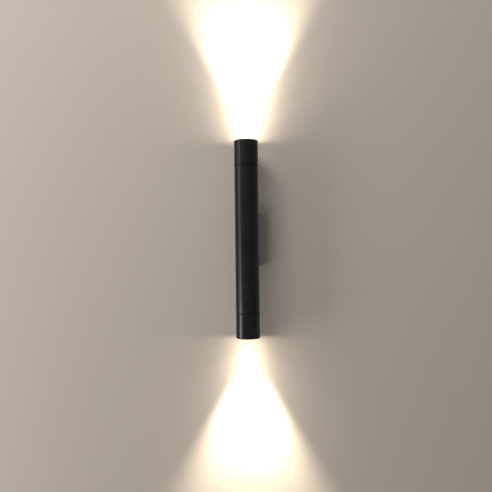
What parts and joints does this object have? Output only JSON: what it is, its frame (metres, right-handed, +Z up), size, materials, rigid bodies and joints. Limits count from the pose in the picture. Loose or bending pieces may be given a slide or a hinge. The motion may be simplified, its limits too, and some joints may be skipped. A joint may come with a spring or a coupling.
{
  "type": "tube wall light",
  "caption": "Slim black tube wall light that shines up and down, on a small rectangular wall box, with a screw-off collar at each end for changing the lamp.",
  "frame": {"origin": "middle of the wall plate's back face, on the wall", "axes": "+X to the right as seen from the room, +Y into the wall, +Z up along the tube; the tube's axis is at x = 0, y = -37.7 mm"},
  "size_m": [0.04, 0.0577, 0.33],
  "materials": {
    "black_powder_coat": "fine satin black powder coat",
    "black_screw": "black screw",
    "black_anodised": "matt black anodised",
    "zinc_steel": "zinc plated sheet steel",
    "screw_steel": "zinc plated screw steel",
    "spring_steel": "spring steel",
    "tinned_terminal": "tinned copper",
    "pin_nickel": "nickel plated",
    "bare_aluminium": "bare extruded aluminium",
    "brass": "plain brass",
    "bush_plastic": "black moulded plastic",
    "terminal_plastic": "white moulded plastic",
    "lamp_white": "white moulded plastic",
    "lamp_board": "white circuit board",
    "lamp_lens": "clear moulded lens",
    "holder_ceramic": "unglazed white steatite",
    "silicone": "translucent silicone",
    "front_glass": "frosted glass, lit from behind",
    "live_insulation": "brown silicone insulation",
    "neutral_insulation": "blue silicone insulation",
    "earth_insulation": "green and yellow insulation"
  },
  "bodies": {
    "tube_and_box": {"wall_plate": "zinc_steel", "back_box": "black_powder_coat", "box_lock_screws": "black_screw", "cable_bushing": "bush_plastic", "terminal_block": "terminal_plastic", "terminal_barrels": "brass", "terminal_clamp_screws": "screw_steel", "terminal_fixing_screws": "screw_steel", "earth_screw": "screw_steel", "earth_washer": "screw_steel", "earth_ring_terminal": "tinned_terminal", "earth_lead": "earth_insulation", "tube_screws": "screw_steel", "tube_screw_washers": "screw_steel", "clamp_bar": "bare_aluminium", "lead_bushing": "bush_plastic", "tube_body": "black_powder_coat", "holder_contacts": "brass", "holder_screws": "screw_steel", "bracket_screws": "screw_steel", "upper_threaded_ring": "black_anodised", "upper_lamp_bracket": "zinc_steel", "upper_lampholder": "holder_ceramic", "upper_live_lead": "live_insulation", "upper_neutral_lead": "neutral_insulation", "lower_threaded_ring": "black_anodised", "lower_lamp_bracket": "zinc_steel", "lower_lampholder": "holder_ceramic", "lower_live_lead": "live_insulation", "lower_neutral_lead": "neutral_insulation"},
    "upper_lamp": {"upper_lamp_base": "lamp_white", "upper_lamp_pins": "pin_nickel", "upper_lamp_shell": "lamp_white", "upper_lamp_board": "lamp_board", "upper_lamp_lens": "lamp_lens"},
    "upper_glass_unit": {"upper_front_glass": "front_glass", "upper_glass_gasket": "silicone", "upper_retaining_ring": "spring_steel"},
    "upper_collar": {"upper_collar": "black_powder_coat"},
    "lower_lamp": {"lower_lamp_base": "lamp_white", "lower_lamp_pins": "pin_nickel", "lower_lamp_shell": "lamp_white", "lower_lamp_board": "lamp_board", "lower_lamp_lens": "lamp_lens"},
    "lower_glass_unit": {"lower_front_glass": "front_glass", "lower_glass_gasket": "silicone", "lower_retaining_ring": "spring_steel"},
    "lower_collar": {"lower_collar": "black_powder_coat"}
  },
  "joints": [
    {"name": "upper_collar_lift", "type": "slide", "parent": "tube_and_box", "child": "upper_glass_unit", "axis": [0, 0, 1], "range_m": [0, 0.0075]},
    {"name": "upper_collar_turn", "type": "hinge", "parent": "upper_glass_unit", "child": "upper_collar", "pos_m": [0, -0.0377, 0.144], "axis": [0, 0, 1], "range_deg": [0, 1800]},
    {"name": "upper_lamp_turn", "type": "hinge", "parent": "tube_and_box", "child": "upper_lamp", "pos_m": [0, -0.0377, 0.136], "axis": [0, 0, 1], "range_deg": [0, 20]},
    {"name": "lower_collar_lift", "type": "slide", "parent": "tube_and_box", "child": "lower_glass_unit", "axis": [0, 0, -1], "range_m": [0, 0.0075]},
    {"name": "lower_collar_turn", "type": "hinge", "parent": "lower_glass_unit", "child": "lower_collar", "pos_m": [0, -0.0377, -0.144], "axis": [0, 0, -1], "range_deg": [0, 1800]},
    {"name": "lower_lamp_turn", "type": "hinge", "parent": "tube_and_box", "child": "lower_lamp", "pos_m": [0, -0.0377, -0.136], "axis": [0, 0, -1], "range_deg": [0, 20]}
  ],
  "couplings": [
    {"joint": "upper_collar_turn", "follows": "upper_collar_lift", "rad_per_m": 4188.8},
    {"joint": "lower_collar_turn", "follows": "lower_collar_lift", "rad_per_m": 4188.8}
  ]
}
